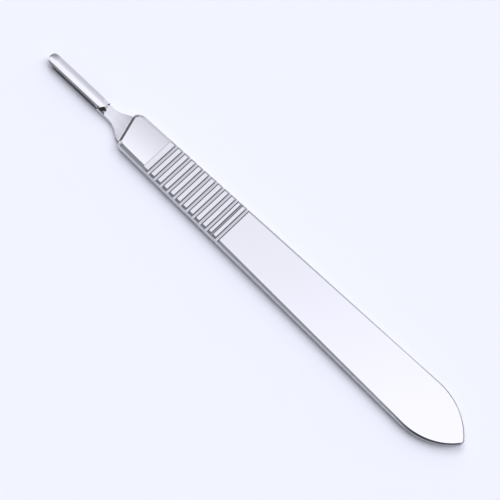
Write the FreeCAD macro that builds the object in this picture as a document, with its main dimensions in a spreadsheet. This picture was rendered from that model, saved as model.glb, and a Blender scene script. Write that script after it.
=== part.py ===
import FreeCAD, Part
import Sketcher
import math
import os

# Scalpel handle, one piece of stainless steel, forged and then ground and milled.
# Its own frame: X along the handle towards the blade end, Z through the thickness,
# origin where the shoulder line crosses the axis, halfway through the slab.
# The finished handle is placed with its box centred on X and Y and its underside at Z = 0.

# Sizes in millimetres, angles in degrees. Places along the handle count from the shoulder,
# and heights from the underside.
sizes = {
    # The flat slab that is held in the hand
    "overall_length": 125.0,
    "thickness": 2.47,
    "front_width": 9.3,
    "side_angle": 1.3,
    "corner_radius": 2.1,
    "tail_radius": 15.0,
    "tip_radius": 0.9,
    # The bevel ground round the edge of both faces, and the front edge that is cut back square
    # afterwards and given a narrow bevel of its own
    "bevel_width": 0.75,
    "bevel_depth": 0.42,
    "front_trim": 0.3,
    "front_bevel": 0.5,
    "front_bevel_depth": 0.38,
    # The blank is thinner at the tail, and behind the front pad its top face is ground lower
    "blank_tail_thickness": 2.11,
    "pad_length": 8.95,
    "step_run": 0.15,
    "grip_relief": 0.12,
    "tail_thickness": 1.83,
    # Cross grooves of the grip, cut through both faces
    "groove_start": 10.85,
    "groove_pitch": 2.0,
    "groove_count": 10,
    "groove_floor": 0.56,
    "groove_wall": 0.27,
    "groove_depth": 0.36,
    "narrow_groove_place": 30.36,
    "narrow_groove_floor": 0.12,
    "last_groove_place": 32.0,
    # The slanted shoulder and the flat neck in front of it
    "shoulder_slant": 16.0,
    "shoulder_fillet": 0.3,
    "nib_reach": 23.9,
    "nib_width": 2.85,
    "nib_underside": 0.14,
    "seat_height": 1.2,
    "flare_start": 5.0,
    "flare_radius": 5.0,
    "flare_angle": 31.0,
    "root_width": 7.0,
    "root_depth": 2.0,
    # The boss on the nib: crowned top, side slots for the blade, ramp and facets behind
    "boss_rear": 6.2,
    "boss_top": 2.2,
    "crown_drop": 0.48,
    "slot_height": 0.46,
    "slot_depth": 0.4,
    "slot_end": 9.7,
    "slot_cutter": 3.0,
    "ramp_length": 0.7,
    "ramp_slope": 40.0,
    "facet_length": 1.75,
    "left_facet_heading": 128.0,
    "left_facet_slope": 46.0,
    "right_facet_heading": 115.0,
    "right_facet_slope": 37.0,
    "facet_clearance": 0.03,
    "nose_length": 0.5,
    "nose_slope": 38.0,
    # How far the cutting outlines reach past the metal
    "overcut": 1.0,
}

doc = FreeCAD.newDocument("scalpel_handle")
sheet = doc.addObject("Spreadsheet::Sheet", "sizes")
for row, (alias, value) in enumerate(sizes.items(), start=1):
    sheet.set("A%d" % row, alias)
    sheet.set("B%d" % row, str(value))
    sheet.setAlias("B%d" % row, alias)
doc.recompute()

body = doc.addObject("PartDesign::Body", "handle")
body.Label = "scalpel_handle"


def on_sheet(formula):
    """The formula with each $ turned into the name of the sheet."""
    return formula.replace("$", "sizes.")


def bind(item, prop, formula):
    """Ties a property to a formula of the sheet's sizes."""
    item.setExpression(prop, on_sheet(formula))


def worth(formula):
    """The number that a formula gives now."""
    return float(sheet.evalExpression(on_sheet(formula)))


def at(across, up):
    """A point of a sketch, from two formulas."""
    return FreeCAD.Vector(worth(across), worth(up), 0)


def sketch_on(role, name, lift="0"):
    """A new sketch on one of the body's own planes, moved along its normal."""
    sketch = body.newObject("Sketcher::SketchObject", name)
    plane = next(item for item in body.Origin.OriginFeatures if item.Role == role)
    sketch.AttachmentSupport = [(plane, "")]
    sketch.MapMode = "FlatFace"
    bind(sketch, "AttachmentOffset.Base.z", lift)
    return sketch


def hold(sketch, kind, *where):
    """A geometric constraint."""
    return sketch.addConstraint(Sketcher.Constraint(kind, *where))


def dimension(sketch, formula, kind, *where):
    """A driving dimension tied to a formula, in millimetres or degrees."""
    now = worth(formula)
    index = hold(sketch, kind, *where, math.radians(now) if kind == "Angle" else now)
    name = "size_%d" % index
    sketch.renameConstraint(index, name)
    bind(sketch, "Constraints." + name, formula)


def pin(sketch, edge, end, across, up):
    """Places one end or centre of an edge by two formulas."""
    dimension(sketch, across, "DistanceX", -1, 1, edge, end)
    dimension(sketch, up, "DistanceY", -1, 1, edge, end)


def polygon(sketch, corners):
    """A closed outline of straight lines through corners given as formulas."""
    first = sketch.GeometryCount
    points = [at(across, up) for across, up in corners]
    count = len(points)
    for index in range(count):
        sketch.addGeometry(Part.LineSegment(points[index], points[(index + 1) % count]))
    for index in range(count):
        hold(sketch, "Coincident", first + index, 2, first + (index + 1) % count, 1)
    for index, (across, up) in enumerate(corners):
        pin(sketch, first + index, 1, across, up)


def arc(centre, radius, start, stop):
    """An arc drawn anticlockwise between two angles in degrees."""
    circle = Part.Circle(centre, FreeCAD.Vector(0, 0, 1), radius)
    return Part.ArcOfCircle(circle, math.radians(start), math.radians(stop))


def mirrored(point):
    """The same point on the other side of the handle's axis."""
    return FreeCAD.Vector(point.x, -point.y, 0)


def pad(sketch, name, length, side="One side"):
    """Metal added along the sketch's normal."""
    feature = body.newObject("PartDesign::Pad", name)
    feature.Profile = sketch
    feature.SideType = side
    bind(feature, "Length", length)
    doc.recompute()
    return feature


def pocket(sketch, name, length=None, side="One side", forward=False):
    """Metal removed along the sketch's normal, or right through, and checked to be removed."""
    before = body.Shape.Volume
    feature = body.newObject("PartDesign::Pocket", name)
    feature.Profile = sketch
    feature.SideType = side
    feature.Reversed = forward
    if length is None:
        feature.Type = "ThroughAll"
    else:
        bind(feature, "Length", length)
    doc.recompute()
    if not feature.Shape.Volume < before:
        raise RuntimeError(name + " cuts nothing")
    return feature


def edges_where(wanted):
    """Names of the body's edges for which a test holds."""
    numbered = enumerate(body.Shape.Edges, start=1)
    return ["Edge%d" % number for number, edge in numbered if wanted(edge.BoundBox)]


def near(one, other):
    """Two measures are the same."""
    return abs(one - other) < 1e-4


# Plan of the slab: a slanted front, sides that open towards the tail, and a pointed arch of
# two arcs whose point is rounded. It is drawn in place and then held by its dimensions.
half_front = worth("$front_width / 2")
tail_radius = worth("$tail_radius")
tip_radius = worth("$tip_radius")
lean = math.radians(worth("$side_angle"))
slant = math.tan(math.radians(worth("$shoulder_slant")))
front_place = worth("$front_trim / cos($shoulder_slant)")
outward = FreeCAD.Vector(math.sin(lean), math.cos(lean), 0)
forward = FreeCAD.Vector(math.cos(lean), -math.sin(lean), 0)
tip_centre = at("$nib_reach - $overall_length + $tip_radius", "0")
inset = half_front * math.cos(lean) - tail_radius - outward.dot(tip_centre)
reach = math.sqrt((tail_radius - tip_radius) ** 2 - inset ** 2)
arch_centre = tip_centre + outward * inset + forward * reach
arch_start = 90 - math.degrees(lean)
arch_stop = math.degrees(math.atan2(-arch_centre.y, tip_centre.x - arch_centre.x))
arch_foot = arch_centre + outward * tail_radius
half_there = half_front - front_place * math.tan(lean)
left_y = half_there / (1 - slant * math.tan(lean))
right_y = -half_there / (1 + slant * math.tan(lean))
left_corner = FreeCAD.Vector(front_place - slant * left_y, left_y, 0)
right_corner = FreeCAD.Vector(front_place - slant * right_y, right_y, 0)

slab_plan = sketch_on("XY_Plane", "slab_plan")
FRONT, LEFT, LEFT_ARCH, POINT, RIGHT_ARCH, RIGHT = range(6)
slab_plan.addGeometry(Part.LineSegment(right_corner, left_corner))
slab_plan.addGeometry(Part.LineSegment(left_corner, arch_foot))
slab_plan.addGeometry(arc(arch_centre, tail_radius, arch_start, arch_stop))
slab_plan.addGeometry(arc(tip_centre, tip_radius, arch_stop, 360 - arch_stop))
slab_plan.addGeometry(arc(mirrored(arch_centre), tail_radius, 360 - arch_stop, 360 - arch_start))
slab_plan.addGeometry(Part.LineSegment(mirrored(arch_foot), right_corner))
for before, after in ((RIGHT, FRONT), (FRONT, LEFT)):
    hold(slab_plan, "Coincident", before, 2, after, 1)
for before, after in ((LEFT, LEFT_ARCH), (LEFT_ARCH, POINT), (POINT, RIGHT_ARCH), (RIGHT_ARCH, RIGHT)):
    hold(slab_plan, "Tangent", before, 2, after, 1)
dimension(slab_plan, "$front_trim", "Distance", -1, 1, FRONT)
hold(slab_plan, "PointOnObject", POINT, 3, -1)
dimension(slab_plan, "90 + $shoulder_slant", "Angle", FRONT)
dimension(slab_plan, "180 - $side_angle", "Angle", LEFT)
dimension(slab_plan, "$side_angle", "Angle", RIGHT)
for straight in (LEFT, RIGHT):
    dimension(slab_plan, "$front_width / 2 * cos($side_angle)", "Distance", -1, 1, straight)
for arch in (LEFT_ARCH, RIGHT_ARCH):
    dimension(slab_plan, "$tail_radius", "Radius", arch)
dimension(slab_plan, "$tip_radius", "Radius", POINT)
dimension(slab_plan, "$nib_reach - $overall_length + $tip_radius", "DistanceX", -1, 1, POINT, 3)
pad(slab_plan, "slab", "$thickness", side="Symmetric")

# The underside is flat. The top falls from the end of the grip to the tail.
grip_end = "-($last_groove_place + $groove_floor / 2 + $groove_wall)"
tail_end = "$nib_reach - $overall_length"
taper = sketch_on("XZ_Plane", "taper_section")
polygon(taper, [
    (grip_end, "$thickness / 2"),
    (tail_end, "$blank_tail_thickness - $thickness / 2"),
    (tail_end + " - $overcut", "$blank_tail_thickness - $thickness / 2"),
    (tail_end + " - $overcut", "$thickness / 2 + $overcut"),
    (grip_end, "$thickness / 2 + $overcut"),
])
blank = pocket(taper, "tapered_top", side="Symmetric")

# The two front corners are rounded
upright = [
    name for name in edges_where(lambda box: box.ZLength > worth("$thickness / 2"))
    if body.Shape.getElement(name).BoundBox.XMin > -half_front
]
front_corners = body.newObject("PartDesign::Fillet", "front_corners")
front_corners.Base = (blank, upright)
bind(front_corners, "Radius", "$corner_radius")
doc.recompute()

# A bevel runs round the edge of both faces. It is wider across the face than down the side.
rims = edges_where(lambda box: box.ZLength < worth("$thickness / 2") and box.XLength > 1e-4)
bevel = body.newObject("PartDesign::Chamfer", "edge_bevel")
bevel.Base = (front_corners, rims)
bevel.ChamferType = "Two distances"
bind(bevel, "Size", "$bevel_depth")
bind(bevel, "Size2", "$bevel_width")
doc.recompute()

# The top face is ground lower behind the front pad, and more so towards the tail, which takes
# most of its bevel away there
grip_face = "($thickness / 2 - $grip_relief)"
face_grinding = sketch_on("XZ_Plane", "face_grinding")
polygon(face_grinding, [
    ("-$pad_length", "$thickness / 2"),
    ("-$pad_length - $step_run", grip_face),
    (grip_end, grip_face),
    (tail_end, "$tail_thickness - $thickness / 2"),
    (tail_end + " - $overcut", "$tail_thickness - $thickness / 2"),
    (tail_end + " - $overcut", "$thickness / 2 + $overcut"),
    ("-$pad_length", "$thickness / 2 + $overcut"),
])
pocket(face_grinding, "ground_top", side="Symmetric")

# The front is cut back square to the shoulder line, with a narrow bevel at each face
front_section = sketch_on("XZ_Plane", "front_section")
offset = front_section.AttachmentOffset
offset.Rotation = FreeCAD.Rotation(FreeCAD.Vector(0, 1, 0), worth("$shoulder_slant"))
front_section.AttachmentOffset = offset
bind(front_section, "AttachmentOffset.Rotation.Angle", "$shoulder_slant")
polygon(front_section, [
    ("-$front_bevel", "$thickness / 2"),
    ("0", "$thickness / 2 - $front_bevel_depth"),
    ("0", "$front_bevel_depth - $thickness / 2"),
    ("-$front_bevel", "-$thickness / 2"),
    ("-$front_bevel", "-$thickness / 2 - $overcut"),
    ("$front_trim + $overcut", "-$thickness / 2 - $overcut"),
    ("$front_trim + $overcut", "$thickness / 2 + $overcut"),
    ("-$front_bevel", "$thickness / 2 + $overcut"),
])
pocket(front_section, "square_front", "2 * $front_width", side="Symmetric")


def groove(name, place, floor):
    """One cross groove in each face, with sloped walls and a flat floor."""
    sketch = sketch_on("XZ_Plane", name + "_section")
    for turn, face in (("", grip_face), ("-", "($thickness / 2)")):
        polygon(sketch, [
            ("-(%s) - %s / 2" % (place, floor), turn + "(%s - $groove_depth)" % face),
            ("-(%s) + %s / 2" % (place, floor), turn + "(%s - $groove_depth)" % face),
            ("-(%s) + %s / 2 + $groove_wall" % (place, floor), turn + face),
            ("-(%s) + %s / 2 + $groove_wall" % (place, floor), turn + "(%s + $overcut)" % face),
            ("-(%s) - %s / 2 - $groove_wall" % (place, floor), turn + "(%s + $overcut)" % face),
            ("-(%s) - %s / 2 - $groove_wall" % (place, floor), turn + face),
        ])
    return pocket(sketch, name, side="Symmetric")


# The grip: evenly spaced grooves, and behind them a narrow one and a last one set closer
first_groove = groove("groove", "$groove_start", "$groove_floor")
grooves = body.newObject("PartDesign::LinearPattern", "grooves")
grooves.Originals = [first_groove]
grooves.Direction = (first_groove.Profile[0], ["H_Axis"])
grooves.Reversed = True
bind(grooves, "Length", "$groove_pitch * ($groove_count - 1)")
bind(grooves, "Occurrences", "$groove_count")
body.Tip = grooves
doc.recompute()
groove("narrow_groove", "$narrow_groove_place", "$narrow_groove_floor")
groove("last_groove", "$last_groove_place", "$groove_floor")

# The neck and nib: a flat tongue with a round end, flared into the shoulder by an arc and a
# straight run on each side, the left one set back and the right one forward with the slant.
# Its top is the plane that the blade lies on.
half_nib = "$nib_width / 2"
slant_shift = half_nib + " * tan($shoulder_slant)"
flare_y = half_nib + " + $flare_radius * (1 - cos($flare_angle))"
flare_x = "$flare_start - $flare_radius * sin($flare_angle)"
root_x = flare_x + " - ($root_width / 2 - (%s)) / tan($flare_angle)" % flare_y
round_centre = "$nib_reach - " + half_nib
neck_plan = sketch_on("XY_Plane", "neck_plan", "$nib_underside - $thickness / 2")
set_back = FreeCAD.Vector(worth(slant_shift), 0, 0)
rear = at("-$root_depth", "$root_width / 2")
root = at(root_x, "$root_width / 2")
flare_end = at(flare_x, flare_y)
flare_foot = at("$flare_start", half_nib)
round_foot = at(round_centre, half_nib)
flare_centre = at("$flare_start", half_nib + " + $flare_radius")
flare_radius = worth("$flare_radius")
flare_angle = worth("$flare_angle")
(RIGHT_ROOT, RIGHT_RUN, RIGHT_FLARE, RIGHT_SIDE, ROUND_END,
 LEFT_SIDE, LEFT_FLARE, LEFT_RUN, LEFT_ROOT, REAR) = range(10)
neck_plan.addGeometry(Part.LineSegment(mirrored(rear), mirrored(root) + set_back))
neck_plan.addGeometry(Part.LineSegment(mirrored(root) + set_back, mirrored(flare_end) + set_back))
neck_plan.addGeometry(arc(mirrored(flare_centre) + set_back, flare_radius, 90, 90 + flare_angle))
neck_plan.addGeometry(Part.LineSegment(mirrored(flare_foot) + set_back, mirrored(round_foot)))
neck_plan.addGeometry(arc(at(round_centre, "0"), worth(half_nib), -90, 90))
neck_plan.addGeometry(Part.LineSegment(round_foot, flare_foot - set_back))
neck_plan.addGeometry(arc(flare_centre - set_back, flare_radius, 270 - flare_angle, 270))
neck_plan.addGeometry(Part.LineSegment(flare_end - set_back, root - set_back))
neck_plan.addGeometry(Part.LineSegment(root - set_back, rear))
neck_plan.addGeometry(Part.LineSegment(rear, mirrored(rear)))
hold(neck_plan, "Coincident", RIGHT_ROOT, 2, RIGHT_RUN, 1)
hold(neck_plan, "Tangent", RIGHT_RUN, 2, RIGHT_FLARE, 2)
hold(neck_plan, "Tangent", RIGHT_FLARE, 1, RIGHT_SIDE, 1)
hold(neck_plan, "Tangent", RIGHT_SIDE, 2, ROUND_END, 1)
hold(neck_plan, "Tangent", ROUND_END, 2, LEFT_SIDE, 1)
hold(neck_plan, "Tangent", LEFT_SIDE, 2, LEFT_FLARE, 2)
hold(neck_plan, "Tangent", LEFT_FLARE, 1, LEFT_RUN, 1)
hold(neck_plan, "Coincident", LEFT_RUN, 2, LEFT_ROOT, 1)
hold(neck_plan, "Coincident", LEFT_ROOT, 2, REAR, 1)
hold(neck_plan, "Coincident", REAR, 2, RIGHT_ROOT, 1)
for level in (RIGHT_ROOT, RIGHT_SIDE, LEFT_SIDE, LEFT_ROOT):
    hold(neck_plan, "Horizontal", level)
hold(neck_plan, "Vertical", REAR)
hold(neck_plan, "PointOnObject", ROUND_END, 3, -1)
dimension(neck_plan, half_nib, "Radius", ROUND_END)
dimension(neck_plan, round_centre, "DistanceX", -1, 1, ROUND_END, 3)
for flare, sign in ((RIGHT_FLARE, " + "), (LEFT_FLARE, " - ")):
    dimension(neck_plan, "$flare_radius", "Radius", flare)
    dimension(neck_plan, "$flare_start" + sign + slant_shift, "DistanceX", -1, 1, flare, 3)
dimension(neck_plan, "$flare_angle", "Angle", RIGHT_RUN)
dimension(neck_plan, "180 - $flare_angle", "Angle", LEFT_RUN)
dimension(neck_plan, "-$root_width / 2", "DistanceY", -1, 1, RIGHT_ROOT, 1)
dimension(neck_plan, "$root_width / 2", "DistanceY", -1, 1, LEFT_ROOT, 2)
dimension(neck_plan, "-$root_depth", "DistanceX", -1, 1, REAR, 1)
pad(neck_plan, "neck", "$seat_height - $nib_underside")

# The boss stands on the nib, with the same round end and a rear cut at the shoulder's slant
boss_plan = sketch_on("XY_Plane", "boss_plan", "$seat_height - $thickness / 2")
left_rear = at("$boss_rear - " + slant_shift, half_nib)
right_rear = at("$boss_rear + " + slant_shift, "-" + half_nib)
BOSS_END, BOSS_LEFT, BOSS_REAR, BOSS_RIGHT = range(4)
boss_plan.addGeometry(arc(at(round_centre, "0"), worth(half_nib), -90, 90))
boss_plan.addGeometry(Part.LineSegment(round_foot, left_rear))
boss_plan.addGeometry(Part.LineSegment(left_rear, right_rear))
boss_plan.addGeometry(Part.LineSegment(right_rear, mirrored(round_foot)))
hold(boss_plan, "Tangent", BOSS_END, 2, BOSS_LEFT, 1)
hold(boss_plan, "Coincident", BOSS_LEFT, 2, BOSS_REAR, 1)
hold(boss_plan, "Coincident", BOSS_REAR, 2, BOSS_RIGHT, 1)
hold(boss_plan, "Tangent", BOSS_RIGHT, 2, BOSS_END, 1)
hold(boss_plan, "Horizontal", BOSS_LEFT)
hold(boss_plan, "Horizontal", BOSS_RIGHT)
hold(boss_plan, "PointOnObject", BOSS_END, 3, -1)
dimension(boss_plan, half_nib, "Radius", BOSS_END)
dimension(boss_plan, round_centre, "DistanceX", -1, 1, BOSS_END, 3)
dimension(boss_plan, "$boss_rear - " + slant_shift, "DistanceX", -1, 1, BOSS_REAR, 1)
dimension(boss_plan, "$boss_rear + " + slant_shift, "DistanceX", -1, 1, BOSS_REAR, 2)
pad(boss_plan, "boss", "$boss_top - $seat_height")

# Its top is crowned across: an arc through the top and the two lower edges
crown_radius = "(pow(%s; 2) + pow($crown_drop; 2)) / (2 * $crown_drop)" % half_nib
crown_centre = "$boss_top - $thickness / 2 - " + crown_radius
crown_span = half_nib + " + $crown_drop / 2"
crown_lid = "$boss_top - $thickness / 2 + $overcut"
crown = sketch_on("YZ_Plane", "crown", "$boss_rear - %s - $overcut / 2" % slant_shift)
radius_now = worth(crown_radius)
foot_angle = math.degrees(math.acos(worth(crown_span) / radius_now))
foot_height = worth(crown_centre) + radius_now * math.sin(math.radians(foot_angle))
right_foot = FreeCAD.Vector(worth(crown_span), foot_height, 0)
left_foot = FreeCAD.Vector(-worth(crown_span), foot_height, 0)
right_lid = at(crown_span, crown_lid)
left_lid = at("-(%s)" % crown_span, crown_lid)
CROWN, LEFT_WALL, LID, RIGHT_WALL = range(4)
crown.addGeometry(arc(at("0", crown_centre), radius_now, foot_angle, 180 - foot_angle))
crown.addGeometry(Part.LineSegment(left_foot, left_lid))
crown.addGeometry(Part.LineSegment(left_lid, right_lid))
crown.addGeometry(Part.LineSegment(right_lid, right_foot))
hold(crown, "Coincident", CROWN, 2, LEFT_WALL, 1)
hold(crown, "Coincident", LEFT_WALL, 2, LID, 1)
hold(crown, "Coincident", LID, 2, RIGHT_WALL, 1)
hold(crown, "Coincident", RIGHT_WALL, 2, CROWN, 1)
hold(crown, "Vertical", LEFT_WALL)
hold(crown, "Vertical", RIGHT_WALL)
hold(crown, "Horizontal", LID)
hold(crown, "PointOnObject", CROWN, 3, -2)
dimension(crown, crown_radius, "Radius", CROWN)
dimension(crown, crown_centre, "DistanceY", -1, 1, CROWN, 3)
dimension(crown, "-(%s)" % crown_span, "DistanceX", -1, 1, LID, 1)
dimension(crown, crown_span, "DistanceX", -1, 1, LID, 2)
dimension(crown, crown_lid, "DistanceY", -1, 1, LID, 1)
pocket(crown, "crowned_top", forward=True)

# A slot along each side takes the edges of the blade's own slot. It is open at the tip and
# runs out behind in the arc of the cutter that made it.
slots = sketch_on("XY_Plane", "slots", "$seat_height - $thickness / 2")
slot_open = "$nib_reach + $overcut"
slot_floor = "(%s - $slot_depth)" % half_nib
slot_mouth = "(%s + $slot_depth)" % half_nib
cutter_turn = math.degrees(math.acos(1 - worth("2 * $slot_depth / $slot_cutter")))
cutter_centre = at("$slot_end", slot_floor + " + $slot_cutter")
cutter = worth("$slot_cutter")
for side in (1, -1):
    sign = "" if side > 0 else "-"
    first = slots.GeometryCount
    floor_end = at("$slot_end", slot_floor)
    floor_open = at(slot_open, slot_floor)
    mouth_open = at(slot_open, slot_mouth)
    mouth_end = at("$slot_end - $slot_cutter * sin(%.12f)" % cutter_turn, slot_mouth)
    run_out = arc(cutter_centre, cutter, 270 - cutter_turn, 270)
    ends = (1, 2)
    if side < 0:
        floor_end, floor_open = mirrored(floor_end), mirrored(floor_open)
        mouth_open, mouth_end = mirrored(mouth_open), mirrored(mouth_end)
        run_out = arc(mirrored(cutter_centre), cutter, 90, 90 + cutter_turn)
        ends = (2, 1)
    slots.addGeometry(Part.LineSegment(floor_end, floor_open))
    slots.addGeometry(Part.LineSegment(floor_open, mouth_open))
    slots.addGeometry(Part.LineSegment(mouth_open, mouth_end))
    slots.addGeometry(run_out)
    hold(slots, "Coincident", first, 2, first + 1, 1)
    hold(slots, "Coincident", first + 1, 2, first + 2, 1)
    hold(slots, "Coincident", first + 2, 2, first + 3, ends[0])
    hold(slots, "Tangent", first + 3, ends[1], first, 1)
    hold(slots, "Horizontal", first)
    hold(slots, "Vertical", first + 1)
    hold(slots, "Horizontal", first + 2)
    pin(slots, first, 2, slot_open, sign + slot_floor)
    dimension(slots, "$slot_end", "DistanceX", -1, 1, first, 1)
    dimension(slots, sign + slot_mouth, "DistanceY", -1, 1, first + 2, 1)
    dimension(slots, "$slot_cutter", "Radius", first + 3)
pocket(slots, "blade_slots", "$slot_height", forward=True)


def falling_face(name, across, along, level, turn, heading, slope, fall):
    """Cuts away what lies above a plane that falls in one direction from a given point."""
    sketch = sketch_on("XZ_Plane", name + "_section", "-(%s)" % along)
    offset = sketch.AttachmentOffset
    offset.Rotation = FreeCAD.Rotation(FreeCAD.Vector(0, turn, 0), worth(heading))
    sketch.AttachmentOffset = offset
    bind(sketch, "AttachmentOffset.Base.x", across)
    bind(sketch, "AttachmentOffset.Rotation.Angle", heading)
    lid = "$boss_top - $thickness / 2 + 2 * $nib_width"
    polygon(sketch, [
        ("-$nib_width", "%s + $nib_width * tan(%s)" % (level, slope)),
        (fall, "%s - (%s) * tan(%s)" % (level, fall, slope)),
        (fall, lid),
        ("-$nib_width", lid),
    ])
    return pocket(sketch, name, "2 * $nib_width", side="Symmetric")


# Behind, the top falls away in a ramp, and each rear corner in a facet that widens backwards.
# They end just above the plane of the neck. The nose slopes down to the round end.
ramp_fall = "($boss_top - $seat_height - $facet_clearance) / tan($ramp_slope)"
facet_fall = "($boss_top - $crown_drop - $seat_height - $facet_clearance) / tan(%s)"
crown_edge = "$boss_top - $crown_drop - $thickness / 2"
falling_face("rear_ramp", "$boss_rear + $ramp_length", "0", "$boss_top - $thickness / 2",
             -1, "180 - $shoulder_slant", "$ramp_slope", ramp_fall)
falling_face("left_facet", "$boss_rear - %s + $facet_length" % slant_shift, half_nib, crown_edge,
             1, "$left_facet_heading", "$left_facet_slope", facet_fall % "$left_facet_slope")
falling_face("right_facet", "$boss_rear + %s + $facet_length" % slant_shift, "-" + half_nib, crown_edge,
             -1, "$right_facet_heading", "$right_facet_slope", facet_fall % "$right_facet_slope")
falling_face("nose", "$nib_reach - $nose_length", "0", "$boss_top - $thickness / 2",
             1, "0", "$nose_slope", "$nose_length + $overcut")

# A small fillet is left along the foot of the shoulder, where it rises from the neck
seat_level = worth("$seat_height - $thickness / 2")
foot = edges_where(
    lambda box: near(box.ZMin, seat_level) and near(box.ZMax, seat_level)
    and near(box.XLength, slant * box.YLength) and box.XMax < worth("$flare_start")
)
last_facet = body.Tip
shoulder_foot = body.newObject("PartDesign::Fillet", "shoulder_foot")
shoulder_foot.Base = (last_facet, foot)
bind(shoulder_foot, "Radius", "$shoulder_fillet")
doc.recompute()

# The handle is moved so that its box is centred and it stands on its underside
bind(body, "Placement.Base.x", "$overall_length / 2 - $nib_reach")
bind(body, "Placement.Base.z", "$thickness / 2")
doc.recompute()

for item in doc.Objects:
    if {"Invalid", "Error"} & set(item.State):
        raise RuntimeError("%s could not be made" % item.Name)
if body.Shape.isNull() or not body.Shape.isValid():
    raise RuntimeError("the handle's solid is not valid")
os.makedirs("parts", exist_ok=True)
body.Shape.exportStep("parts/%s.step" % body.Label)
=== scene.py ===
import bpy
from math import radians
from mathutils import Matrix, Vector

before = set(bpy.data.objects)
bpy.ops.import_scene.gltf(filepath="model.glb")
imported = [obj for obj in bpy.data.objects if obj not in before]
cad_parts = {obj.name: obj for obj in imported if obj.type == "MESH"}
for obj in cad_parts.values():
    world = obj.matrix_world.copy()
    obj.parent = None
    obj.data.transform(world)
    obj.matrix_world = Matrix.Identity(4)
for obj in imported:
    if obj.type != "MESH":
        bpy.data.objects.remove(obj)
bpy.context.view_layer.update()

# Handle
# The whole handle is one piece: forged from a blank of stainless steel, then ground, milled and
# polished to a fine satin. Places are in millimetres in its own frame: x along it to the nib,
# y to its left, z up.
STEEL = (0.72, 0.72, 0.74, 1.0)
POLISH = 0.16
MILLIMETRES = 1000.0

steel = bpy.data.materials.new("satin steel")
steel.use_nodes = True
steel_nodes = steel.node_tree.nodes
surface = steel_nodes["Principled BSDF"]
surface.inputs["Metallic"].default_value = 1.0


def feed(socket, value):
    """Gives a socket a plain value, or links it to the socket that the value comes from."""
    if isinstance(value, bpy.types.NodeSocket):
        socket.id_data.links.new(value, socket)
    else:
        socket.default_value = value


def axes(vector):
    """The three readings of a vector: X, Y and Z."""
    node = vector.id_data.nodes.new("ShaderNodeSeparateXYZ")
    feed(node.inputs["Vector"], vector)
    return [node.outputs[axis] for axis in "XYZ"]


def figure(operation, reading, *values):
    """One step of arithmetic on a reading, in the shader that the reading is in."""
    node = reading.id_data.nodes.new("ShaderNodeMath")
    node.operation = operation
    for socket, value in zip(node.inputs, (reading, *values)):
        feed(socket, value)
    return node.outputs["Value"]


def over(reading, limit):
    """1 where the reading is above a limit, 0 elsewhere."""
    return figure("GREATER_THAN", reading, limit)


def under(reading, limit):
    """1 where the reading is below a limit, 0 elsewhere."""
    return figure("LESS_THAN", reading, limit)


def inside(reading, limits):
    """1 where the reading lies between two limits, 0 elsewhere."""
    low, high = limits
    return figure("COMPARE", reading, (low + high) / 2, (high - low) / 2)


def product(*factors):
    """The product of some readings: of masks, the place where all of them hold."""
    total = factors[0]
    for factor in factors[1:]:
        total = figure("MULTIPLY", total, factor)
    return total


def fade(reading, limits, first=0.0, last=1.0):
    """A number that goes from first to last while the reading goes from limit to limit."""
    node = reading.id_data.nodes.new("ShaderNodeMapRange")
    feed(node.inputs["Value"], reading)
    for name, number in zip(("From Min", "From Max", "To Min", "To Max"), (*limits, first, last)):
        feed(node.inputs[name], number)
    return node.outputs["Result"]


def blend(kind, first, second, share=1.0):
    """Mixes a reading's colour with a second one."""
    node = first.id_data.nodes.new("ShaderNodeMix")
    node.data_type = "RGBA"
    node.blend_type = kind
    feed(node.inputs["Factor"], share)
    feed(node.inputs["A"], first)
    feed(node.inputs["B"], second)
    return node.outputs["Result"]


painted_shading = []


def paint_shading(where, amount):
    """Multiplies the steel's colour by an amount in the place of a mask: painted shading, lighter
    or darker.
    """
    painted_shading.append(fade(where, (0.0, 1.0), 1.0, amount))


metres = axes(steel_nodes.new("ShaderNodeTexCoord").outputs["Object"])
x, y, z = (figure("MULTIPLY", reading, MILLIMETRES) for reading in metres)
to_nib, to_left, upward = axes(steel_nodes.new("ShaderNodeNewGeometry").outputs["Normal"])

# The grip's grooves are milled and duller than the ridges. Their colour carries painted shade:
# darkest on the walls that face the nib, lighter on the walls that face the tail, and a little on
# the groove floors.
GRIP = (5.9, 28.7)
WALL_LEAN = 0.35
WALL_TO_NIB_PAINTED_SHADE = 0.18
WALL_TO_TAIL_PAINTED_SHADE = 0.70
WALL_POLISH = 0.38
GROOVE_TOP = 2.25
FLOOR_LEVEL = 0.9
GROOVE_FLOOR_PAINTED_SHADE = 0.76

in_grip = inside(x, GRIP)
wall_to_nib = product(in_grip, over(to_nib, WALL_LEAN))
wall_to_tail = product(in_grip, under(to_nib, -WALL_LEAN))
paint_shading(wall_to_nib, WALL_TO_NIB_PAINTED_SHADE)
paint_shading(wall_to_tail, WALL_TO_TAIL_PAINTED_SHADE)
paint_shading(product(in_grip, under(z, GROOVE_TOP), over(upward, FLOOR_LEVEL)), GROOVE_FLOOR_PAINTED_SHADE)

# The side slots of the nib carry a little painted shade, and the lip below them a dark painted
# shadow, which ends at the tip.
SLOT_START = 46.6
SLOT_HEIGHTS = (1.19, 1.67)
SLOT_REACH = 1.42
SLOT_PAINTED_SHADE = 0.85
LIP_BOTTOM = (0.3, 0.5)
LIP_TOP = 1.195
LIP_END = (59.8, 61.2)
LIP_PAINTED_SHADOW = 0.10

on_nib = over(x, SLOT_START)
within_edges = under(figure("ABSOLUTE", y), SLOT_REACH)
paint_shading(product(on_nib, inside(z, SLOT_HEIGHTS), within_edges), SLOT_PAINTED_SHADE)
lip = product(on_nib, fade(z, LIP_BOTTOM), under(z, LIP_TOP), fade(x, LIP_END, 1.0, 0.0))
paint_shading(lip, LIP_PAINTED_SHADOW)

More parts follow.
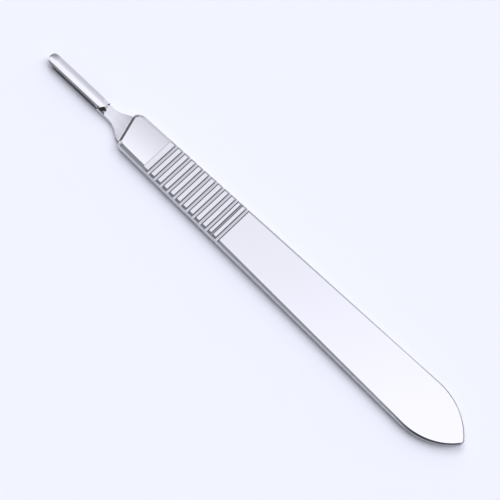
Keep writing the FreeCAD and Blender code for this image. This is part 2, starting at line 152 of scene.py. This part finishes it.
# The facet behind the boss on the left is painted near black, a painted dark reflection. The
# boss's crown has a painted highlight along its left edge, and painted shade at the right of the
# tip.
FACET = (44.0, 46.7)
FACET_LEAN = 0.3
FACET_TURN = 0.15
FACET_BOTTOM = 1.22
FACET_PAINTED_SHADE = 0.06
CROWN_BOTTOM = 1.67
CROWN_TURN = (0.3, 0.5)
CROWN_LEFT_PAINTED_HIGHLIGHT = 1.38
TIP = (60.3, 61.8)
TIP_BOTTOM = 1.205
TIP_RIGHT = (0.0, 0.6)
TIP_PAINTED_SHADE = 0.50

steep = figure("MAXIMUM", under(to_nib, -FACET_LEAN), under(upward, FACET_LEAN))
facet = product(steep, over(to_left, FACET_TURN), inside(x, FACET), over(z, FACET_BOTTOM))
paint_shading(facet, FACET_PAINTED_SHADE)
paint_shading(product(over(x, FACET[1]), over(z, CROWN_BOTTOM), fade(to_left, CROWN_TURN)), CROWN_LEFT_PAINTED_HIGHLIGHT)
paint_shading(product(fade(x, TIP), over(z, TIP_BOTTOM), fade(y, TIP_RIGHT, 1.0, 0.0)), TIP_PAINTED_SHADE)

# The front pad has painted light to the left and painted shade to the right. The neck has painted
# shade at the shoulder and along its right edge, and painted light along its left edge.
PAD = (29.6, 39.0)
PAD_BOTTOM = 2.4
PAD_WIDTH = (-3.5, 3.5)
PAD_RIGHT_PAINTED_SHADE = 0.88
PAD_LEFT_PAINTED_LIGHT = 1.15
NECK_START = 37.0
NECK_TOP = 1.55
NECK_LEVEL = 0.6
NECK_FOOT = (38.4, 43.0)
NECK_FOOT_PAINTED_SHADE = 0.74
NECK_LEFT_EDGE = (0.2, 1.2)
NECK_LEFT_PAINTED_LIGHT = 1.08
NECK_RIGHT_EDGE = (-2.4, -0.8)
NECK_RIGHT_PAINTED_SHADE = 0.86

paint_shading(product(inside(x, PAD), over(z, PAD_BOTTOM)), fade(y, PAD_WIDTH, PAD_RIGHT_PAINTED_SHADE, PAD_LEFT_PAINTED_LIGHT))
on_neck = product(over(x, NECK_START), under(z, NECK_TOP), over(upward, NECK_LEVEL))
paint_shading(on_neck, fade(x, NECK_FOOT, NECK_FOOT_PAINTED_SHADE, 1.0))
paint_shading(on_neck, fade(y, NECK_LEFT_EDGE, 1.0, NECK_LEFT_PAINTED_LIGHT))
paint_shading(on_neck, fade(y, NECK_RIGHT_EDGE, NECK_RIGHT_PAINTED_SHADE, 1.0))

# The bevels carry painted shade on the right behind the pad and on the left along the grip, and
# the darkest painted shade round the tail. Of the two front corners, the left has painted light
# and is rubbed dull, and the right has painted shade.
BEVEL_LEVEL = (0.3, 0.985)
BEVEL_TURN = 0.3
BEVEL_RIGHT_PAINTED_SHADE = 0.72
BEVEL_GRIP_PAINTED_SHADE = 0.70
TAIL = (-43.0, -54.0)
TAIL_RIGHT_PAINTED_SHADE = 0.48
TAIL_LEFT_PAINTED_SHADE = 0.10
CORNER = (37.0, 40.5)
CORNER_LEAN = 0.15
CORNER_LEFT_PAINTED_LIGHT = 1.15
CORNER_POLISH = 0.50
CORNER_TURN = -0.05
CORNER_RIGHT_PAINTED_SHADE = 0.52

bevel = inside(upward, BEVEL_LEVEL)
left_bevel = product(bevel, over(to_left, BEVEL_TURN))
paint_shading(product(bevel, under(to_left, -BEVEL_TURN), under(x, PAD[0])), BEVEL_RIGHT_PAINTED_SHADE)
paint_shading(product(left_bevel, in_grip), BEVEL_GRIP_PAINTED_SHADE)
at_tail = fade(x, TAIL)
paint_shading(product(bevel, at_tail, under(to_left, BEVEL_TURN)), TAIL_RIGHT_PAINTED_SHADE)
paint_shading(product(left_bevel, at_tail), TAIL_LEFT_PAINTED_SHADE)
at_corner = product(over(to_nib, CORNER_LEAN), inside(x, CORNER))
left_corner = product(left_bevel, at_corner)
paint_shading(left_corner, CORNER_LEFT_PAINTED_LIGHT)
paint_shading(product(bevel, at_corner, under(to_left, CORNER_TURN)), CORNER_RIGHT_PAINTED_SHADE)

# The side walls are dull. Their colour has a painted shadow down at the table, painted shade on
# the right, and painted light towards the front. Round the tail's left their upper rim has
# painted shade, dark like the bevel.
SIDE_LEVEL = 0.3
SIDE_POLISH = 0.42
SIDE_FOOT = (0.25, 0.80)
SIDE_FOOT_PAINTED_SHADOW = 0.18
SIDE_MIDDLE = (-10.0, 5.0)
SIDE_FRONT_PAINTED_LIGHT = 1.14
SIDE_TURN = (-0.5, -0.3)
SIDE_RIGHT_PAINTED_SHADE = 0.60
TAIL_SIDE = (-48.0, -52.0)
TAIL_RIM = (1.0, 1.25)
TAIL_RIM_PAINTED_SHADE = 0.30

side = under(figure("ABSOLUTE", upward), SIDE_LEVEL)
paint_shading(product(side, under(x, PAD[1])), fade(z, SIDE_FOOT, SIDE_FOOT_PAINTED_SHADOW, 1.0))
paint_shading(side, fade(x, SIDE_MIDDLE, 1.0, SIDE_FRONT_PAINTED_LIGHT))
paint_shading(side, fade(to_left, SIDE_TURN, SIDE_RIGHT_PAINTED_SHADE, 1.0))
left_of_tail = product(side, fade(x, TAIL_SIDE), over(y, 0.0))
paint_shading(left_of_tail, fade(z, TAIL_RIM, 1.0, TAIL_RIM_PAINTED_SHADE))

# The steel's colour is multiplied by all the painted shading above.
feed(surface.inputs["Base Color"], blend("MULTIPLY", product(*painted_shading), STEEL))
polish = POLISH
for where, duller in (
    (side, SIDE_POLISH),
    (wall_to_nib, WALL_POLISH),
    (wall_to_tail, WALL_POLISH),
    (left_corner, CORNER_POLISH),
):
    polish = figure("MAXIMUM", fade(where, (0.0, 1.0), POLISH, duller), polish)
feed(surface.inputs["Roughness"], polish)

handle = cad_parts["scalpel_handle"]
for material_slot in handle.material_slots:
    material_slot.material = steel

# Table
# A plain sheet of pale matt card, on which the handle lies loose. It runs on far past the
# picture, so that no edge of it shows.
TABLE_COLOUR = (0.862, 0.878, 0.915, 1.0)
TABLE_ROUGHNESS = 0.9
TABLE_GLOSS = 0.1
TABLE_RADIUS = 6.0
TABLE_CORNERS = 64

card = bpy.data.materials.new("pale card")
card.use_nodes = True
card_surface = card.node_tree.nodes["Principled BSDF"]
card_surface.inputs["Base Color"].default_value = TABLE_COLOUR
card_surface.inputs["Roughness"].default_value = TABLE_ROUGHNESS
card_surface.inputs["Specular IOR Level"].default_value = TABLE_GLOSS

bpy.ops.mesh.primitive_circle_add(vertices=TABLE_CORNERS, radius=TABLE_RADIUS, fill_type="NGON")
table = bpy.context.object
table.name = "table"
table.data.materials.append(card)

# Light
# A tent of white cloth stands over the handle. The flat faces mirror its middle, and its two
# ends light the table, mostly from the nib and from the right, so that the left side has a
# shadow.
TENT_STRENGTH = 1.70
TENT_COLOUR = (1.0, 1.0, 1.05)

tent = bpy.data.worlds.new("light tent")
tent.use_nodes = True
bpy.context.scene.world = tent
tent_nodes = tent.node_tree.nodes
cloth = tent_nodes["Background"]
cloth.inputs["Strength"].default_value = TENT_STRENGTH


def brightness(stops, reach, reading, tint=(1.0, 1.0, 1.0)):
    """Brightness of the cloth by a reading that runs from minus to plus its reach."""
    node = reading.id_data.nodes.new("ShaderNodeValToRGB")
    feed(node.inputs["Fac"], fade(reading, (-reach, reach)))
    elements = node.color_ramp.elements
    while len(elements) < len(stops):
        elements.new(0.5)
    for element, (place, level) in zip(elements, stops):
        element.position = (place + reach) / (2 * reach)
        element.color = [level * part for part in tint] + [1.0]
    return node.outputs["Color"]


# Directions in the tent: degrees round the handle, from its right over the top to its left,
# and the share of a direction that points along the handle, from the tail to the nib.
along, across, up = axes(tent_nodes.new("ShaderNodeTexCoord").outputs["Generated"])
around = figure("DEGREES", figure("ARCTAN2", across, up))

# The middle is brightest overhead, and dark on the camera's side, which the left bevel shows as
# a dark line. The ends are brightest on the right.
ARCH_REACH = 90.0
MIDDLE_ARCH = (
    (-90, 0.56), (-60, 0.60), (-40, 0.64), (-24, 0.78), (-10, 0.97), (0, 1.0),
    (10, 0.98), (20, 0.92), (27, 0.80), (32, 0.26), (36, 0.19), (55, 0.13), (90, 0.0),
)
END_ARCH = (
    (-90, 0.40), (-58, 0.50), (-50, 0.85), (-25, 1.0), (-10, 0.95), (0, 0.6),
    (10, 0.13), (20, 0.03), (40, 0.06), (65, 0.06), (90, 0.0),
)
MIDDLE_ALONG = (
    (-0.02, 1.0), (0.033, 0.955), (0.058, 0.903), (0.108, 0.82),
    (0.20, 0.80), (0.50, 0.50), (1.0, 0.20),
)
END_ALONG = (
    (-1.0, 0.1), (-0.75, 0.2), (-0.55, 0.8), (-0.4, 2.1), (-0.2, 2.6),
    (0.3, 2.45), (0.62, 2.45), (0.75, 1.1), (0.88, 0.12),
)
END_SHARE = ((-0.30, 1.0), (-0.15, 0.0), (0.36, 0.0), (0.50, 1.0))

middle, ends = (
    blend(
        "MULTIPLY",
        brightness(arch, ARCH_REACH, around, TENT_COLOUR),
        brightness(lengthwise, 1.0, along, TENT_COLOUR),
    )
    for arch, lengthwise in ((MIDDLE_ARCH, MIDDLE_ALONG), (END_ARCH, END_ALONG))
)
tented = blend("MIX", middle, ends, brightness(END_SHARE, 1.0, along))

# What the metal mirrors of both ends is a plain grey, so it looks like steel from other sides.
GLEAM = (0.42, 0.42, 0.43, 1.0)
GLEAM_SHARE = ((-0.45, 1.0), (-0.3, 0.0), (0.5, 0.0), (0.6, 1.0), (0.8, 1.0), (0.88, 0.0))

ray = tent_nodes.new("ShaderNodeLightPath")
mirrored = product(ray.outputs["Is Glossy Ray"], brightness(GLEAM_SHARE, 1.0, along))
feed(cloth.inputs["Color"], blend("MIX", tented, GLEAM, mirrored))

# Camera
# A long lens that looks down about 65 degrees from the handle's left side. It is rolled, so that
# the nib is at the picture's upper left.
CAMERA_PLACE = Vector((-0.05265, 0.18303, 0.40891))
CAMERA_AIM = Vector((-0.00004, 0.00107, 0.0012))
CAMERA_ROLL = 28.52
CAMERA_LENS = 147.58
CAMERA_SENSOR = 36.0
CAMERA_NEAREST = 0.01
CAMERA_FARTHEST = 50.0

lens = bpy.data.cameras.new("camera")
lens.lens = CAMERA_LENS
lens.sensor_width = CAMERA_SENSOR
lens.clip_start = CAMERA_NEAREST
lens.clip_end = CAMERA_FARTHEST
camera = bpy.data.objects.new("camera", lens)
upright = (CAMERA_AIM - CAMERA_PLACE).to_track_quat("-Z", "Y").to_matrix().to_4x4()
camera.matrix_world = (
    Matrix.Translation(CAMERA_PLACE) @ upright @ Matrix.Rotation(radians(CAMERA_ROLL), 4, "Z")
)
bpy.context.scene.collection.objects.link(camera)
bpy.context.scene.camera = camera

bpy.context.scene.view_settings.view_transform = "Standard"
